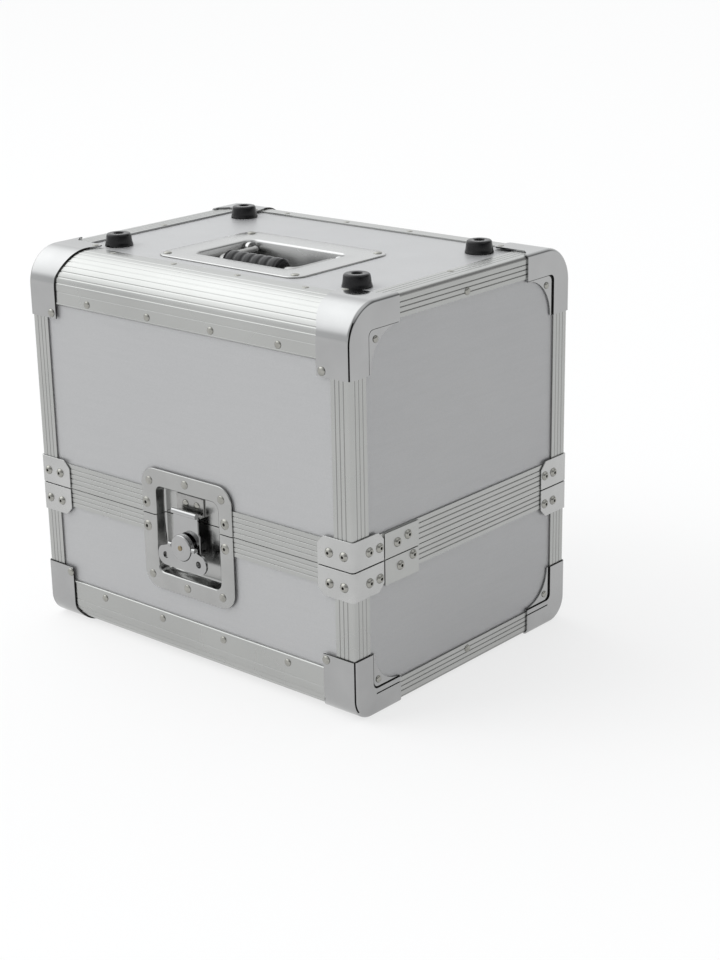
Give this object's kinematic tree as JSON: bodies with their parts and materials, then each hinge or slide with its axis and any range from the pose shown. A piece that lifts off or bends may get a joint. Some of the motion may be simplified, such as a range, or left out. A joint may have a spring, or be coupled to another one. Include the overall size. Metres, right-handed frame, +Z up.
{
  "type": "record carrying case",
  "caption": "Hinged carrying case for LP records: laminate panels in ribbed aluminium profiles, pressed corners, recessed turn latch and recessed handle.",
  "frame": {"origin": "middle of the footprint, on the surface that the case stands on", "axes": "+X to the right along the front, +Y from the latch side to the hinge side, +Z up towards the handle"},
  "size_m": [0.386, 0.3111, 0.3663],
  "materials": {
    "laminate": "silver laminate on a board core, satin with a faint horizontal brushing",
    "profile": "bright anodised, ribbed along its length",
    "chrome": "polished plating on pressed sheet",
    "steel": "bright zinc",
    "rubber": "black moulded rubber, slight sheen"
  },
  "bodies": {
    "base": {"base_front_panel": "laminate", "base_back_panel": "laminate", "base_left_panel": "laminate", "base_right_panel": "laminate", "base_bottom_panel": "laminate", "base_front_edge_profile": "profile", "base_back_edge_profile": "profile", "base_left_edge_profile": "profile", "base_right_edge_profile": "profile", "base_front_left_upright": "profile", "base_front_right_upright": "profile", "base_back_left_upright": "profile", "base_back_right_upright": "profile", "base_closure_profile": "profile", "base_front_left_corner": "chrome", "base_front_right_corner": "chrome", "base_back_left_corner": "chrome", "base_back_right_corner": "chrome", "base_front_left_bracket": "chrome", "base_front_right_bracket": "chrome", "base_back_left_bracket": "chrome", "base_back_right_bracket": "chrome", "latch_base_tray": "chrome", "hinge_base_leaf": "steel", "hinge_pin": "steel"},
    "lid": {"lid_front_panel": "laminate", "lid_back_panel": "laminate", "lid_left_panel": "laminate", "lid_right_panel": "laminate", "lid_top_panel": "laminate", "lid_front_edge_profile": "profile", "lid_back_edge_profile": "profile", "lid_left_edge_profile": "profile", "lid_right_edge_profile": "profile", "lid_front_left_upright": "profile", "lid_front_right_upright": "profile", "lid_back_left_upright": "profile", "lid_back_right_upright": "profile", "lid_closure_profile": "profile", "lid_front_left_corner": "chrome", "lid_front_right_corner": "chrome", "lid_back_left_corner": "chrome", "lid_back_right_corner": "chrome", "lid_front_left_bracket": "chrome", "lid_front_right_bracket": "chrome", "lid_back_left_bracket": "chrome", "lid_back_right_bracket": "chrome", "front_left_foot": "rubber", "front_right_foot": "rubber", "back_left_foot": "rubber", "back_right_foot": "rubber", "handle_well": "chrome", "latch_lid_tray": "chrome", "latch_strike": "steel", "hinge_lid_leaf": "steel"},
    "handle": {"handle_bail": "steel", "handle_grip": "rubber"},
    "spindle": {"latch_spindle": "chrome"},
    "wing": {"latch_wing": "chrome"},
    "hook": {"latch_hook": "chrome"}
  },
  "joints": [
    {"name": "lid_hinge", "type": "hinge", "parent": "base", "child": "lid", "pos_m": [0, 0.15265, 0.1353], "axis": [-1, 0, 0], "range_deg": [0, 100]},
    {"name": "handle_swing", "type": "hinge", "parent": "lid", "child": "handle", "pos_m": [0, -0.002, 0.3485], "axis": [-1, 0, 0], "range_deg": [0, 90], "stiffness_Nm_per_rad": 0.1, "springref_deg": -17.19},
    {"name": "latch_turn", "type": "hinge", "parent": "base", "child": "spindle", "pos_m": [-0.005, -0.1495, 0.1127], "axis": [0, 1, 0], "range_deg": [0, 180]},
    {"name": "wing_fold", "type": "hinge", "parent": "spindle", "child": "wing", "pos_m": [-0.005, -0.15255, 0.1127], "axis": [-1, 0, 0], "range_deg": [0, 90]},
    {"name": "hook_slide", "type": "slide", "parent": "base", "child": "hook", "axis": [0, 0, 1], "range_m": [0, 0.006]}
  ],
  "couplings": [
    {"joint": "latch_turn", "follows": "hook_slide", "rad_per_m": 523.6}
  ]
}
